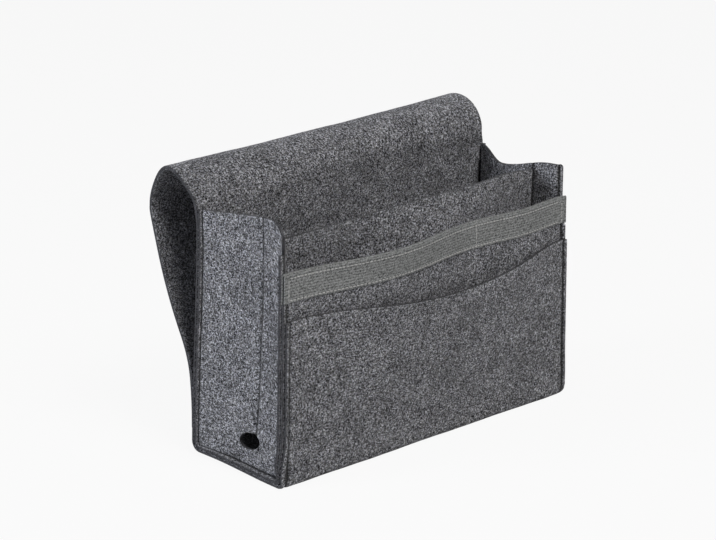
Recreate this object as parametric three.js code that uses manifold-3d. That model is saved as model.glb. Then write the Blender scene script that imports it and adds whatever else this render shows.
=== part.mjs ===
// Bedside caddy: a felt bag with pockets on its front, sides sewn in with turned-out edges,
// and a long flap that rolls over behind it.
// Millimetres, +X to the right seen from the front, +Y to the back, +Z up.
// The origin is the centre of the underside.
import * as THREE from "three";
import { mergeVertices } from "three/addons/utils/BufferGeometryUtils.js";
import Module from "manifold-3d";

const wasm = await Module();
wasm.setup();

// Whole bag
const bagWidth = 320; // across the turned-out side seams
const bagDepth = 106; // front pocket's face to back's face
const feltThickness = 3.6;
const layerGap = 0.3; // clearance between layers that are sewn together
const foldInnerRadius = 3; // inside of the folds between front, base and back

// Sides
const seamReach = 6; // how far the seam edges stand out from the sides
const sideBendRadius = 1.4; // inside of the bend from a side to its seam edge
const sideFrontTop = 202;
const sideDipTop = 191;
const sideBackTop = 199;
const sideDipFromBack = 22; // lowest place of the top edge, measured from the back seam
const sideCornerRadius = 13; // front top corner
const sideLeastRound = 0.6; // lower corners, where the felt is turned tightest
const cableHoleWidth = 22;
const cableHoleHeight = 13;
const cableHoleAboveBase = 23;
const cableHoleFromFront = 49; // hole's centre, measured from the front pocket's face

// Front wall, its ribbon and the front pocket
const wallTop = 167;
const ribbonHeight = 20;
const ribbonThickness = 0.8;
const splitX = 50; // seam that parts the wide pocket from the narrow one
const wideSwell = 15; // how far the wall stands out over the wide pocket
const narrowSwell = 4.5; // and over the narrow one
const pocketEndTop = 132; // top edge of the front pocket at the side seams
const pocketScoop = 12; // how much lower the top edge is at the scoop
const pocketScoopX = 30;
const pocketTilt = 3; // how much the top edge rises from its middle to the right seam
const mouthGap = 11; // how far the front pocket's mouth stands off the wall
const mouthX = 45; // where the mouth is widest

// Divider
const dividerTop = 190;
const dividerEndSetback = 29; // divider's front face at the sides, behind the front pocket's face

// Flap
const backTop = 202.7;
const flapRise = 3; // straight part above the fold
const crownRadius = 25.5; // middle of the felt
const tailLean = THREE.MathUtils.degToRad(20); // slope of the hanging part, from upright
const tailBendRadius = 100; // where the hanging part turns upright
const tailGap = 2.5; // hanging end to back
const tailEndAboveBase = 20;
const crownHinges = 3; // places where the rolled felt opens

const layerPitch = feltThickness + layerGap;
const foldOuterRadius = foldInnerRadius + feltThickness;
const frontY = -bagDepth / 2;
const backY = bagDepth / 2;
const edgeX = bagWidth / 2;
const plateOuterX = edgeX - seamReach;
const plateInnerX = plateOuterX - feltThickness;
const wallFrontY = frontY + layerPitch;
const seamFrontY = wallFrontY + layerPitch; // front face of the sides' front seam edges
const seamBackY = backY - layerPitch; // rear face of their rear seam edges
const panelBottom = foldOuterRadius + layerGap;

const cutOver = 10; // how far cutting shapes run past what they cut

const feltColour = 0x6a6a6e;
const ribbonColour = 0x747474;

// Solids from closed geometry, and back
function toSolid(geometry) {
  const bare = geometry.index ? geometry.toNonIndexed() : geometry.clone();
  bare.deleteAttribute("normal");
  bare.deleteAttribute("uv");
  const merged = mergeVertices(bare, 1e-3);
  return new wasm.Manifold(
    new wasm.Mesh({
      numProp: 3,
      vertProperties: merged.attributes.position.array,
      triVerts: new Uint32Array(merged.index.array),
    }),
  );
}

function toGeometry(solid) {
  const mesh = solid.getMesh();
  const geometry = new THREE.BufferGeometry();
  geometry.setAttribute("position", new THREE.BufferAttribute(mesh.vertProperties, 3));
  geometry.setIndex(new THREE.BufferAttribute(mesh.triVerts, 1));
  geometry.computeVertexNormals();
  return geometry;
}

// An outline drawn in Y and Z, carried along X from x0 to x1
function carryAlongX(outline, x0, x1, steps = 1) {
  const geometry = new THREE.ExtrudeGeometry(outline, {
    depth: x1 - x0,
    steps,
    curveSegments: 8,
    bevelEnabled: false,
  });
  const turn = new THREE.Matrix4().makeBasis(
    new THREE.Vector3(0, 1, 0),
    new THREE.Vector3(0, 0, 1),
    new THREE.Vector3(1, 0, 0),
  );
  return geometry.applyMatrix4(turn).translate(x0, 0, 0);
}

// A solid through outlines with equally many points, each drawn in Y and Z at its own X
function loftAlongX(rings) {
  const count = rings[0].points.length;
  const positions = rings.flatMap(({ x, points }) => points.flatMap((point) => [x, point.x, point.y]));
  const index = [];
  for (let ring = 0; ring + 1 < rings.length; ring += 1) {
    for (let i = 0; i < count; i += 1) {
      const here = ring * count + i;
      const next = ring * count + ((i + 1) % count);
      index.push(here, next, next + count, here, next + count, here + count);
    }
  }
  const last = (rings.length - 1) * count;
  const startCap = THREE.ShapeUtils.triangulateShape(rings[0].points, []);
  startCap.forEach(([a, b, c]) => index.push(c, b, a));
  const endCap = THREE.ShapeUtils.triangulateShape(rings.at(-1).points, []);
  endCap.forEach(([a, b, c]) => index.push(last + a, last + b, last + c));
  const geometry = new THREE.BufferGeometry();
  geometry.setAttribute("position", new THREE.Float32BufferAttribute(positions, 3));
  geometry.setIndex(index);
  return geometry;
}

// A block from one corner to the other
function block(low, high) {
  const size = high.map((value, axis) => value - low[axis]);
  const middle = high.map((value, axis) => (value + low[axis]) / 2);
  return new THREE.BoxGeometry(...size).translate(...middle);
}

// A felt sheet that spans the bag, with its top edge and its front face given as functions
function feltSheet({ halfWidth, bottom, topAt, frontAt, columns, rows }) {
  const geometry = new THREE.BoxGeometry(1, 1, 1, columns, 1, rows);
  const place = geometry.attributes.position;
  for (let i = 0; i < place.count; i += 1) {
    const x = 2 * halfWidth * place.getX(i);
    const z = THREE.MathUtils.lerp(bottom, topAt(x), place.getZ(i) + 0.5);
    const y = frontAt(x, z) + feltThickness * (place.getY(i) + 0.5);
    place.setXYZ(i, x, y, z);
  }
  geometry.computeVertexNormals();
  return geometry;
}

// A smooth hump over a stretch, 0 at both ends and 1 at the peak
function hump(x, start, peak, end) {
  const share = x < peak ? (x - start) / (peak - start) : (end - x) / (end - peak);
  return Math.sin((Math.PI / 2) * THREE.MathUtils.clamp(share, 0, 1)) ** 2;
}

// How far up a panel is towards the height where it stands out fully
function riseShare(z, fullZ) {
  return Math.max(0, (z - panelBottom) / (fullZ - panelBottom)) ** 1.5;
}

// How far the front wall stands out, by place
function wallSwell(x, z) {
  const wideMiddle = (splitX - plateOuterX) / 2;
  const narrowMiddle = (splitX + plateOuterX) / 2;
  const wide = wideSwell * hump(x, -plateOuterX, wideMiddle, splitX);
  const narrow = narrowSwell * hump(x, splitX, narrowMiddle, plateOuterX);
  return (wide + narrow) * riseShare(z, wallTop);
}

function pocketTop(x) {
  const scoop = pocketScoop * hump(x, -edgeX, pocketScoopX, edgeX);
  return pocketEndTop - scoop + pocketTilt * (x / edgeX);
}

function pocketSwell(x, z) {
  const mouth = mouthGap * hump(x, -plateOuterX, mouthX, plateOuterX);
  return wallSwell(x, z) + mouth * riseShare(z, pocketEndTop - pocketScoop);
}

function makeFrontPocket() {
  return feltSheet({
    halfWidth: edgeX,
    bottom: panelBottom,
    topAt: pocketTop,
    frontAt: (x, z) => frontY - pocketSwell(x, z),
    columns: 32,
    rows: 8,
  });
}

function makeFrontWall() {
  return feltSheet({
    halfWidth: edgeX,
    bottom: panelBottom,
    topAt: () => wallTop,
    frontAt: (x, z) => wallFrontY - wallSwell(x, z),
    columns: 32,
    rows: 8,
  });
}

// The tape folds over the wall's top edge; its rear half stops at the sides' seam edges
function makeTopRibbon() {
  const slotFront = wallFrontY - layerGap;
  const slotBack = wallFrontY + feltThickness + layerGap;
  const slotTop = wallTop + layerGap;
  const bottom = wallTop - ribbonHeight;
  const section = new THREE.Shape([
    new THREE.Vector2(slotFront - ribbonThickness, bottom),
    new THREE.Vector2(slotFront, bottom),
    new THREE.Vector2(slotFront, slotTop),
    new THREE.Vector2(slotBack, slotTop),
    new THREE.Vector2(slotBack, bottom),
    new THREE.Vector2(slotBack + ribbonThickness, bottom),
    new THREE.Vector2(slotBack + ribbonThickness, slotTop + ribbonThickness),
    new THREE.Vector2(slotFront - ribbonThickness, slotTop + ribbonThickness),
  ]);
  const tape = carryAlongX(section, -edgeX, edgeX, 32);
  const place = tape.attributes.position;
  for (let i = 0; i < place.count; i += 1) {
    const swell = wallSwell(place.getX(i), Math.min(place.getZ(i), wallTop));
    place.setY(i, place.getY(i) - swell);
  }
  const rearFromY = seamFrontY - layerGap;
  const clear = (x0, x1) =>
    toSolid(block([x0, rearFromY, bottom - cutOver], [x1, seamFrontY + feltThickness, wallTop + cutOver]));
  const solid = toSolid(tape)
    .subtract(clear(-edgeX - cutOver, -plateInnerX + layerGap))
    .subtract(clear(plateInnerX - layerGap, edgeX + cutOver));
  return toGeometry(solid);
}

// The divider bows forward to the wall's ribbon at the seam that parts the pockets
function makeDivider() {
  const halfWidth = plateInnerX - layerGap;
  const endFront = frontY + dividerEndSetback;
  const splitFront = wallFrontY + feltThickness + 2 * layerGap + ribbonThickness;
  const intoFold = Math.max(0, frontY + foldOuterRadius - splitFront);
  const overFold = Math.sqrt(foldInnerRadius ** 2 - intoFold ** 2);
  return feltSheet({
    halfWidth,
    bottom: foldOuterRadius - overFold + layerGap,
    topAt: () => dividerTop,
    frontAt: (x) => endFront - (endFront - splitFront) * hump(x, -halfWidth, splitX, halfWidth),
    columns: 32,
    rows: 2,
  });
}

// The U outline that the seam edges of a side follow, open at the top
function seamOutline(inset, top) {
  const radius = Math.max(foldInnerRadius - layerGap - inset, sideLeastRound);
  const front = seamFrontY + inset;
  const back = seamBackY - inset;
  const bottom = layerPitch + inset;
  const corner = (middleY, start) => {
    const end = start + Math.PI / 2;
    return new THREE.EllipseCurve(middleY, bottom + radius, radius, radius, start, end).getPoints(12);
  };
  return [
    new THREE.Vector2(front, top),
    ...corner(front + radius, Math.PI),
    ...corner(back - radius, 1.5 * Math.PI),
    new THREE.Vector2(back, top),
  ];
}

// A trough that runs in from startX along the seam outline and rounds off into its floor at floorX
function trough(startX, floorX, inset, roundRadius, top) {
  const rings = [{ x: startX, points: seamOutline(inset, top) }];
  const steps = 5;
  for (let step = 0; step <= steps; step += 1) {
    const angle = (step / steps) * (Math.PI / 2);
    const x = floorX - roundRadius * (1 - Math.sin(angle));
    rings.push({ x, points: seamOutline(inset + roundRadius * (1 - Math.cos(angle)), top) });
  }
  return toSolid(loftAlongX(rings));
}

// The left side: a dished plate whose rim is the turned-out seam edge
function makeSide() {
  const above = sideFrontTop + cutOver;
  const outerRound = sideBendRadius + feltThickness;
  const outside = trough(-edgeX, -plateInnerX, 0, outerRound, above);
  const hollow = trough(-edgeX - cutOver, -plateOuterX, feltThickness, sideBendRadius, above + cutOver);

  const dipY = seamBackY - sideDipFromBack;
  const topEdge = new THREE.Shape();
  topEdge.moveTo(seamFrontY - layerGap, -cutOver);
  topEdge.lineTo(seamBackY + layerGap, -cutOver);
  topEdge.lineTo(seamBackY + layerGap, sideBackTop);
  topEdge.quadraticCurveTo(dipY + sideDipFromBack / 2, sideDipTop, dipY, sideDipTop);
  topEdge.lineTo(seamFrontY + sideCornerRadius, sideFrontTop);
  topEdge.quadraticCurveTo(seamFrontY, sideFrontTop, seamFrontY - layerGap, sideFrontTop - sideCornerRadius);
  topEdge.closePath();

  const cableHole = new THREE.Shape();
  const holeY = frontY + cableHoleFromFront;
  cableHole.absellipse(holeY, cableHoleAboveBase, cableHoleWidth / 2, cableHoleHeight / 2, 0, 2 * Math.PI);

  const solid = outside
    .subtract(hollow)
    .intersect(toSolid(carryAlongX(topEdge, -edgeX - cutOver, -plateInnerX + cutOver)))
    .subtract(toSolid(carryAlongX(cableHole, -plateOuterX - cutOver, -plateInnerX + cutOver)));
  return toGeometry(solid);
}

// The base turns up into short folds at the front and the back
function makeBase() {
  const outer = foldOuterRadius;
  const inner = foldInnerRadius;
  const frontCentre = frontY + outer;
  const backCentre = backY - outer;
  const outline = new THREE.Shape();
  outline.absarc(frontCentre, outer, outer, Math.PI, 1.5 * Math.PI, false);
  outline.absarc(backCentre, outer, outer, 1.5 * Math.PI, 2 * Math.PI, false);
  outline.absarc(backCentre, outer, inner, 2 * Math.PI, 1.5 * Math.PI, true);
  outline.absarc(frontCentre, outer, inner, 1.5 * Math.PI, Math.PI, true);
  outline.closePath();
  return carryAlongX(outline, -edgeX, edgeX);
}

function makeBack() {
  return block([-edgeX, backY - feltThickness, panelBottom], [edgeX, backY, backTop]);
}

// The flap is drawn from its fold line, with Y to the back and Z up.
// It rises, rolls over a round crown and hangs down; the crown opens at evenly spaced hinges.
const foldY = backY - feltThickness;
const foldZ = backTop + layerGap;
const crownOuter = crownRadius + feltThickness / 2;
const crownInner = crownRadius - feltThickness / 2;
const crownY = crownOuter;
const crownZ = flapRise;
const crownSweep = Math.PI + tailLean;
const hingeStep = crownSweep / crownHinges;
const hingeClear = layerGap / 2 / crownRadius;
const hingeAngle = (index) => Math.PI - hingeStep * (index + 0.5);

function makeFlapRise() {
  const endAngle = hingeAngle(0) + hingeClear;
  const outline = new THREE.Shape();
  outline.moveTo(0, 0);
  outline.lineTo(0, crownZ);
  outline.absarc(crownY, crownZ, crownOuter, Math.PI, endAngle, true);
  outline.absarc(crownY, crownZ, crownInner, endAngle, Math.PI, false);
  outline.lineTo(feltThickness, 0);
  outline.closePath();
  return carryAlongX(outline, -edgeX, edgeX);
}

function makeCrownStretch(index) {
  const startAngle = hingeAngle(index) - hingeClear;
  const endAngle = hingeAngle(index + 1) + hingeClear;
  const outline = new THREE.Shape();
  outline.absarc(crownY, crownZ, crownOuter, startAngle, endAngle, true);
  outline.absarc(crownY, crownZ, crownInner, endAngle, startAngle, false);
  outline.closePath();
  return carryAlongX(outline, -edgeX, edgeX);
}

function makeFlapTail() {
  const half = feltThickness / 2;
  const startAngle = hingeAngle(crownHinges - 1) - hingeClear;
  const endY = backY + tailGap + half - foldY;
  const endZ = tailEndAboveBase - foldZ;
  const leaveY = crownY + crownRadius * Math.cos(tailLean);
  const leaveZ = crownZ - crownRadius * Math.sin(tailLean);
  const bendInset = tailBendRadius * (1 - Math.cos(tailLean));
  const slope = (leaveY - endY - bendInset) / Math.sin(tailLean);
  const bendY = endY + tailBendRadius;
  const bendZ = leaveZ - slope * Math.cos(tailLean) - tailBendRadius * Math.sin(tailLean);
  const bendStart = Math.PI - tailLean;
  const outline = new THREE.Shape();
  outline.absarc(crownY, crownZ, crownOuter, startAngle, -tailLean, true);
  outline.absarc(bendY, bendZ, tailBendRadius - half, bendStart, Math.PI, false);
  outline.lineTo(endY + half, endZ);
  outline.lineTo(endY - half, endZ);
  outline.absarc(bendY, bendZ, tailBendRadius + half, Math.PI, bendStart, true);
  outline.absarc(crownY, crownZ, crownInner, -tailLean, startAngle, false);
  outline.closePath();
  return carryAlongX(outline, -edgeX, edgeX);
}

function piece(name, geometry, colour = feltColour, roughness = 0.95) {
  const material = new THREE.MeshStandardMaterial({ color: colour, roughness, metalness: 0 });
  const mesh = new THREE.Mesh(geometry, material);
  mesh.name = name;
  return mesh;
}

const bag = new THREE.Group();
bag.add(piece("front_pocket", makeFrontPocket()));
bag.add(piece("front_wall", makeFrontWall()));
bag.add(piece("top_ribbon", makeTopRibbon(), ribbonColour, 0.8));
bag.add(piece("divider_panel", makeDivider()));
bag.add(piece("base_panel", makeBase()));
bag.add(piece("back_panel", makeBack()));

const sideGeometry = makeSide();
bag.add(piece("left_side", sideGeometry));
const rightSide = piece("right_side", sideGeometry);
rightSide.scale.x = -1; // mirror image
bag.add(rightSide);

const flap = new THREE.Group();
flap.position.set(0, foldY, foldZ);
flap.add(piece("flap_rise", makeFlapRise()));
flap.add(piece("flap_crown_front", makeCrownStretch(0)));
flap.add(piece("flap_crown_rear", makeCrownStretch(1)));
flap.add(piece("flap_tail", makeFlapTail()));

const caddy = new THREE.Group();
caddy.add(bag, flap);

export default caddy;
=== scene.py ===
import math

import bmesh
import bpy
from mathutils import Matrix, Vector, noise


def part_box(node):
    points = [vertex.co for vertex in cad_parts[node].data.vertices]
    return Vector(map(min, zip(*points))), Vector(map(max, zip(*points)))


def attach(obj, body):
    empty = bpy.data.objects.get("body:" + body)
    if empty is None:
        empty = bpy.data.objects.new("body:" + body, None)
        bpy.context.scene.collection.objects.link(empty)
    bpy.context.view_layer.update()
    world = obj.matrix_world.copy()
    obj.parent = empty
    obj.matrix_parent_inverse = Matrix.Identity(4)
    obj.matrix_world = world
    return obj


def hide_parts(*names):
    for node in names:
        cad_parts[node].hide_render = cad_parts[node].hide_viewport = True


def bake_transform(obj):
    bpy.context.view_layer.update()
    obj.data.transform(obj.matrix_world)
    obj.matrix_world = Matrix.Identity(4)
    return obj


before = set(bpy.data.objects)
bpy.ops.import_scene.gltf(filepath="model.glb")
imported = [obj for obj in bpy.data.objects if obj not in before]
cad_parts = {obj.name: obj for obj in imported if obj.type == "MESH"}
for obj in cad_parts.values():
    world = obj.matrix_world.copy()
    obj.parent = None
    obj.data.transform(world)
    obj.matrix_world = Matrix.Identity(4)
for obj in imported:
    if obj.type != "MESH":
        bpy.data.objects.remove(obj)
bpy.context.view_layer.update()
mm = 0.001                      # shapes are worked out in millimetres and scaled once
print("frame loaded with", len(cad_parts), "nodes")


def boxOf(node):
    low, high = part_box(node)
    return low / mm, high / mm


# Camera at the photograph's angle
camera = {
    "place": (-1.21039, -1.20317, 0.60842),
    "elevation": 15.678,
    "azimuth": 44.348,
    "lens": 110.68,
    "sensor": 36,
}


def addCamera():
    data = bpy.data.cameras.new("camera")
    data.lens = camera["lens"]
    data.sensor_width = camera["sensor"]
    view = bpy.data.objects.new("camera", data)
    view.location = camera["place"]
    tilt = math.radians(90 - camera["elevation"])
    view.rotation_euler = (tilt, 0, -math.radians(camera["azimuth"]))
    bpy.context.collection.objects.link(view)
    bpy.context.scene.camera = view


addCamera()

# Felt and the places that every sewn piece shares, taken from the frame
felt = {
    "thickness": 3.1,
    "layerPitch": 3.2,          # from one sewn layer to the next
    "edgeRound": 1.2,
    "cell": 3.0,
    "fineCell": 1.0,
    "coarseCell": 5.0,
    "fineMargin": 4.0,          # the fine cells begin this far inside the bend of the seam
    "waviness": 0.45,
    "waveLength": 42,
    "fineWave": 2.3,            # a second, weaker wave is this many times finer
    "fineShare": 0.5,
    "waveApart": (7.3, 3.1),    # keeps the two waves of one sheet unlike those of the next
    "sheetApart": 100,          # and its fibres
    "sharpAngle": 50,
}
seam = {
    "proud": 0.8,               # the raw seam edges stand out past the frame
    "frontSet": 2.6,            # middle of the pocket's felt behind the frame's front face
    "bendStart": 153,           # the front layers turn forward from here outwards
    "bendRadius": 3.0,
    "curl": 21,                 # degrees, how far the front margins turn forward
    "curlFrom": 10,
    "curlFull": 40,
    "rowFromEdge": 5.0,
    "rowWidth": 1.5,
    "pressed": 0.38,            # share of its thickness that the felt keeps under a sewn row
    "edgeThin": 0.55,           # the raw seam edges are thinner, so the layers part there
    "thinRun": (1.0, 3.2),
    "waveFade": 20,             # the felt lies flat over this length beside the bend
}
spread = {                      # how the bag spreads at its base and leans at its top
    "leftFront": 6.5,
    "leftRear": 3.0,
    "right": -0.8,
    "front": 2.5,
    "rear": 2.8,
    "height": 165,
    "tuck": 6.0,                # the lower right front corner is turned in
    "tuckHeight": 9,
    "tuckWidth": 10,
    "tuckDepth": 15,
    "rearLean": 4.2,            # the rear left seam leans forward at its top
    "leanHeights": (10, 190),
    "rearLift": 3.2,            # and its foot stands a little off the floor
    "liftHeight": 80,
    "liftDepths": (-48, 30),
    "liftInward": -60,
    "rearReach": 5.2,           # the top of the back reaches further out on the right
    "reachHeights": (60, 195),
    "reachFade": (201, 214),    # between these heights it falls to the flap's share
    "flapReach": 0.2,
}
baseLow, baseHigh = boxOf("base_panel")
backLow, backHigh = boxOf("back_panel")
halfWidth = baseHigh.x
seamEdge = halfWidth + seam["proud"]
seamScale = (seamEdge - seam["bendStart"]) / (halfWidth - seam["bendStart"])
halfFelt = felt["thickness"] / 2
solidFelt = backHigh.y - backLow.y
pocketMid = baseLow.y + seam["frontSet"]    # middle of the felt of the front pocket
wallMid = pocketMid + felt["layerPitch"]
flangeMid = wallMid + felt["layerPitch"]    # front seam margin of the sides
backMid = baseHigh.y - solidFelt / 2
baseMid = halfFelt


def clamp(value):
    return min(1.0, max(0.0, value))


def smooth(value, low, high):
    share = clamp((value - low) / (high - low))
    return share * share * (3 - 2 * share)


def mix(low, high, share):
    return low + (high - low) * share


def hump(x, start, peak, end):
    if x <= start or x >= end:
        return 0.0
    share = (x - start) / (peak - start) if x < peak else (end - x) / (end - peak)
    return math.sin(math.pi / 2 * share) ** 2


def ladder(*runs):
    # each run is (from, to, step); runs join end to end
    marks = [runs[0][0]]
    for low, high, step in runs:
        count = max(1, round((high - low) / step))
        marks += [low + (high - low) * (index + 1) / count for index in range(count)]
    return marks


def widthMarks():
    inner = seam["bendStart"] - felt["fineMargin"]
    fine = felt["fineCell"]
    return ladder((-halfWidth, -inner, fine), (-inner, inner, felt["cell"]), (inner, halfWidth, fine))


def seamCurl(z):
    return math.radians(seam["curl"]) * smooth(z, seam["curlFrom"], seam["curlFull"])


def rowShare(offset):
    share = offset / seam["rowWidth"]
    return math.exp(-share * share)


def settle(place, sewn=1.0):
    # sewn falls to 0 over the flap, whose tail only keeps clear of the back
    low = clamp(1 - place.z / spread["height"])
    across = clamp((place.x + halfWidth) / (2 * halfWidth))
    deep = clamp((place.y - pocketMid) / (backMid - pocketMid))
    left = mix(spread["leftFront"], spread["leftRear"], deep)
    corner = clamp(1 - place.z / spread["tuckHeight"]) ** 2
    corner *= smooth(place.x, halfWidth - spread["tuckWidth"], halfWidth)
    corner *= 1 - smooth(place.y, pocketMid, pocketMid + spread["tuckDepth"])
    x = place.x + sewn * (low * mix(-left, spread["right"], across) - spread["tuck"] * corner)
    reach = mix(spread["flapReach"], 1, sewn * (1 - smooth(place.z, *spread["reachFade"])))
    x += spread["rearReach"] * reach * across * deep ** 3 * smooth(place.z, *spread["reachHeights"])
    lean = sewn * spread["rearLean"] * deep * (1 - across) * smooth(place.z, *spread["leanHeights"])
    y = place.y + low * mix(-spread["front"], spread["rear"], deep) - lean
    lift = sewn * spread["rearLift"] * smooth(place.y, *spread["liftDepths"])
    lift *= 1 - smooth(place.x, -halfWidth, spread["liftInward"])
    return Vector((x, y, place.z + lift * clamp(1 - place.z / spread["liftHeight"])))


def frontMargin(s, curl, layer):
    # place across and forward of a front layer at s from the middle; layer 0 is the pocket
    reach = abs(s) - seam["bendStart"]
    if reach <= 0:
        return s, 0.0
    radius = seam["bendRadius"] + layer * felt["layerPitch"]
    flangeRadius = seam["bendRadius"] + 2 * felt["layerPitch"]
    flat = (seamEdge - seam["bendStart"] - flangeRadius * math.sin(curl)) / math.cos(curl)
    margin = radius * curl + flat
    travel = reach / (halfWidth - seam["bendStart"]) * margin
    angle = min(curl, travel / radius)
    run = travel - radius * angle
    across = seam["bendStart"] + radius * math.sin(angle) + run * math.cos(angle)
    forward = radius * (1 - math.cos(angle)) + run * math.sin(angle)
    return math.copysign(across, s), forward


# Sheets of felt: a grid, bent to its place, then thickened
def newObject(name, bm, *materials):
    mesh = bpy.data.meshes.new(name)
    bm.to_mesh(mesh)
    bm.free()
    piece = bpy.data.objects.new(name, mesh)
    bpy.context.collection.objects.link(piece)
    for material in materials:
        mesh.materials.append(material)
    return piece


def sewnFelt(fromEdge):
    # how hard the row presses the felt, which also sets how dark a shade is painted along it, and how much
    # that and the raw edge thin it
    press = rowShare(fromEdge - seam["rowFromEdge"])
    return press, max(press, seam["edgeThin"] * (1 - smooth(fromEdge, *seam["thinRun"])))


def looseFelt(s, t):
    return 0.0, 0.0


def edgeRow(s, t):
    return sewnFelt((halfWidth - abs(s)) * seamScale)


def sheetGrid(sMarks, tMarks, point, sheetNumber, pressed=looseFelt):
    # flatPlace keeps where each point lies in the flat cut, for the felt's fibres, and a second attribute
    # keeps how much painted shade lies along the sewn rows
    bm = bmesh.new()
    flatPlace = bm.verts.layers.float_vector.new("flatPlace")
    paintedRowShade = bm.verts.layers.float.new("paintedRowShade")
    fullness = bm.verts.layers.deform.verify()
    columns = len(sMarks)
    bmesh.ops.create_grid(bm, x_segments=columns - 1, y_segments=len(tMarks) - 1, size=0.5)
    for index, vert in enumerate(bm.verts):
        s, t = sMarks[index % columns], tMarks[index // columns]
        vert.co = point(s, t) * mm
        vert[flatPlace] = Vector((s, t, sheetNumber * felt["sheetApart"])) * mm
        vert[paintedRowShade], thin = pressed(s, t)
        vert[fullness][0] = 1 - thin
    return bm


def wavePoints(bm, sheetNumber, fade):
    bm.normal_update()
    flatPlace = bm.verts.layers.float_vector["flatPlace"]
    length, finer = felt["waveLength"], felt["fineWave"]
    broadDepth, fineDepth = [apart * sheetNumber for apart in felt["waveApart"]]
    for vert in bm.verts:
        s, t = vert[flatPlace].x / mm, vert[flatPlace].y / mm
        wave = noise.noise(Vector((s / length, t / length, broadDepth)))
        fine = noise.noise(Vector((s / length * finer, t / length * finer, fineDepth)))
        wave += felt["fineShare"] * fine
        vert.co += vert.normal * (wave * felt["waviness"] * fade(s, t) * mm)


def thicken(piece, thickness, roundness):
    count = len(piece.data.vertices)
    solid = piece.modifiers.new("thickness", "SOLIDIFY")
    solid.thickness = thickness * mm
    solid.offset = 0
    solid.material_offset_rim = 1
    solid.vertex_group = piece.vertex_groups.new(name="fullness").name
    solid.thickness_vertex_group = seam["pressed"]
    applyModifiers(piece)
    for index, entry in enumerate(piece.data.attributes["flatPlace"].data):
        depth = thickness / 2 if index < count else -thickness / 2
        entry.vector.z += depth * mm
    bevel = piece.modifiers.new("roundedEdge", "BEVEL")
    bevel.width = roundness * mm
    bevel.segments = 3
    bevel.limit_method = "ANGLE"
    bevel.angle_limit = math.radians(55)
    applyModifiers(piece)
    softenShading(piece)


def applyModifiers(piece):
    depsgraph = bpy.context.evaluated_depsgraph_get()
    final = bpy.data.meshes.new_from_object(piece.evaluated_get(depsgraph))
    piece.modifiers.clear()
    old = piece.data
    piece.data = final
    bpy.data.meshes.remove(old)
    final.name = piece.name


def softenShading(piece):
    piece.data.shade_smooth()
    piece.data.set_sharp_from_angle(angle=math.radians(felt["sharpAngle"]))


def feltPiece(name, bm):
    piece = newObject(name, bm, feltFace, feltEdge)
    thicken(piece, felt["thickness"], felt["edgeRound"])
    return piece


def insideMargins(s, t):
    return 1 - smooth(abs(s), seam["bendStart"] - seam["waveFade"], seam["bendStart"])


def everywhere(s, t):
    return 1.0


# Materials
def shaderOf(material):
    material.use_nodes = True
    nodes = material.node_tree.nodes
    return nodes, material.node_tree.links, nodes["Principled BSDF"]


def flatVector(nodes):
    flat = nodes.new("ShaderNodeAttribute")
    flat.attribute_name = "flatPlace"
    return flat.outputs["Vector"]


def textureNoise(nodes, links, place, scale, detail, roughness, distortion=0.0):
    node = nodes.new("ShaderNodeTexNoise")
    node.inputs["Scale"].default_value = scale
    node.inputs["Detail"].default_value = detail
    node.inputs["Roughness"].default_value = roughness
    node.inputs["Distortion"].default_value = distortion
    links.new(place, node.inputs["Vector"])
    return node.outputs["Fac"]


def rampOf(nodes, links, value, *stops):
    node = nodes.new("ShaderNodeValToRGB")
    links.new(value, node.inputs["Fac"])
    elements = node.color_ramp.elements
    while len(elements) < len(stops):
        elements.new(0.5)
    for element, (position, level) in zip(elements, stops):
        element.position = position
        element.color = (*level, 1) if isinstance(level, tuple) else (level, level, level, 1)
    return node.outputs["Color"]


def mixColours(nodes, links, kind, factor, first, second):
    node = nodes.new("ShaderNodeMix")
    node.data_type = "RGBA"
    node.blend_type = kind
    node.inputs["Factor"].default_value = factor
    links.new(first, node.inputs["A"])
    links.new(second, node.inputs["B"])
    return node.outputs["Result"]


def mathOf(nodes, links, operation, first, second):
    node = nodes.new("ShaderNodeMath")
    node.operation = operation
    for socket, value in zip(node.inputs, (first, second)):
        if isinstance(value, (int, float)):
            socket.default_value = value
        else:
            links.new(value, socket)
    return node.outputs["Value"]


def bumpFrom(nodes, links, shader, height, strength, distance):
    bump = nodes.new("ShaderNodeBump")
    bump.inputs["Strength"].default_value = strength
    bump.inputs["Distance"].default_value = distance * mm
    links.new(height, bump.inputs["Height"])
    links.new(bump.outputs["Normal"], shader.inputs["Normal"])


feltLook = {
    "faceFibres": ((0.008, 0.008, 0.011), (0.098, 0.100, 0.120), (0.49, 0.50, 0.57)),
    "edgeFibres": ((0.030, 0.030, 0.034), (0.052, 0.052, 0.060), (0.088, 0.089, 0.100)),
    "layStretch": 1.3,          # fibres lie more across the bag than up it
    "grain": 600,               # tufts of fibre per metre
    "tuftStops": (0.42, 0.50, 0.60),
    "strandScale": 400,
    "strandStretch": 0.5,
    "strandTurns": (12, 58, 103, 151),
    "strandApart": (0.31, 0.17),
    "paleStrand": ((0.50, 0.0), (0.545, 0.30), (0.59, 0.0)),
    "paleShare": 0.6,
    "darkStrand": ((0.40, 1.0), (0.45, 0.12), (0.50, 1.0)),
    "darkShare": 0.7,
    "cloud": 55,
    "cloudShades": ((0.30, 0.62), (0.70, 1.08)),
    "pressed": ((0.0, 1.0), (0.7, 0.18)),       # painted shade: how dark the felt is painted under the sewn rows, in place of the shade in their grooves
    "bump": 0.6,
    "bumpDepth": 0.35,
}


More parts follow.
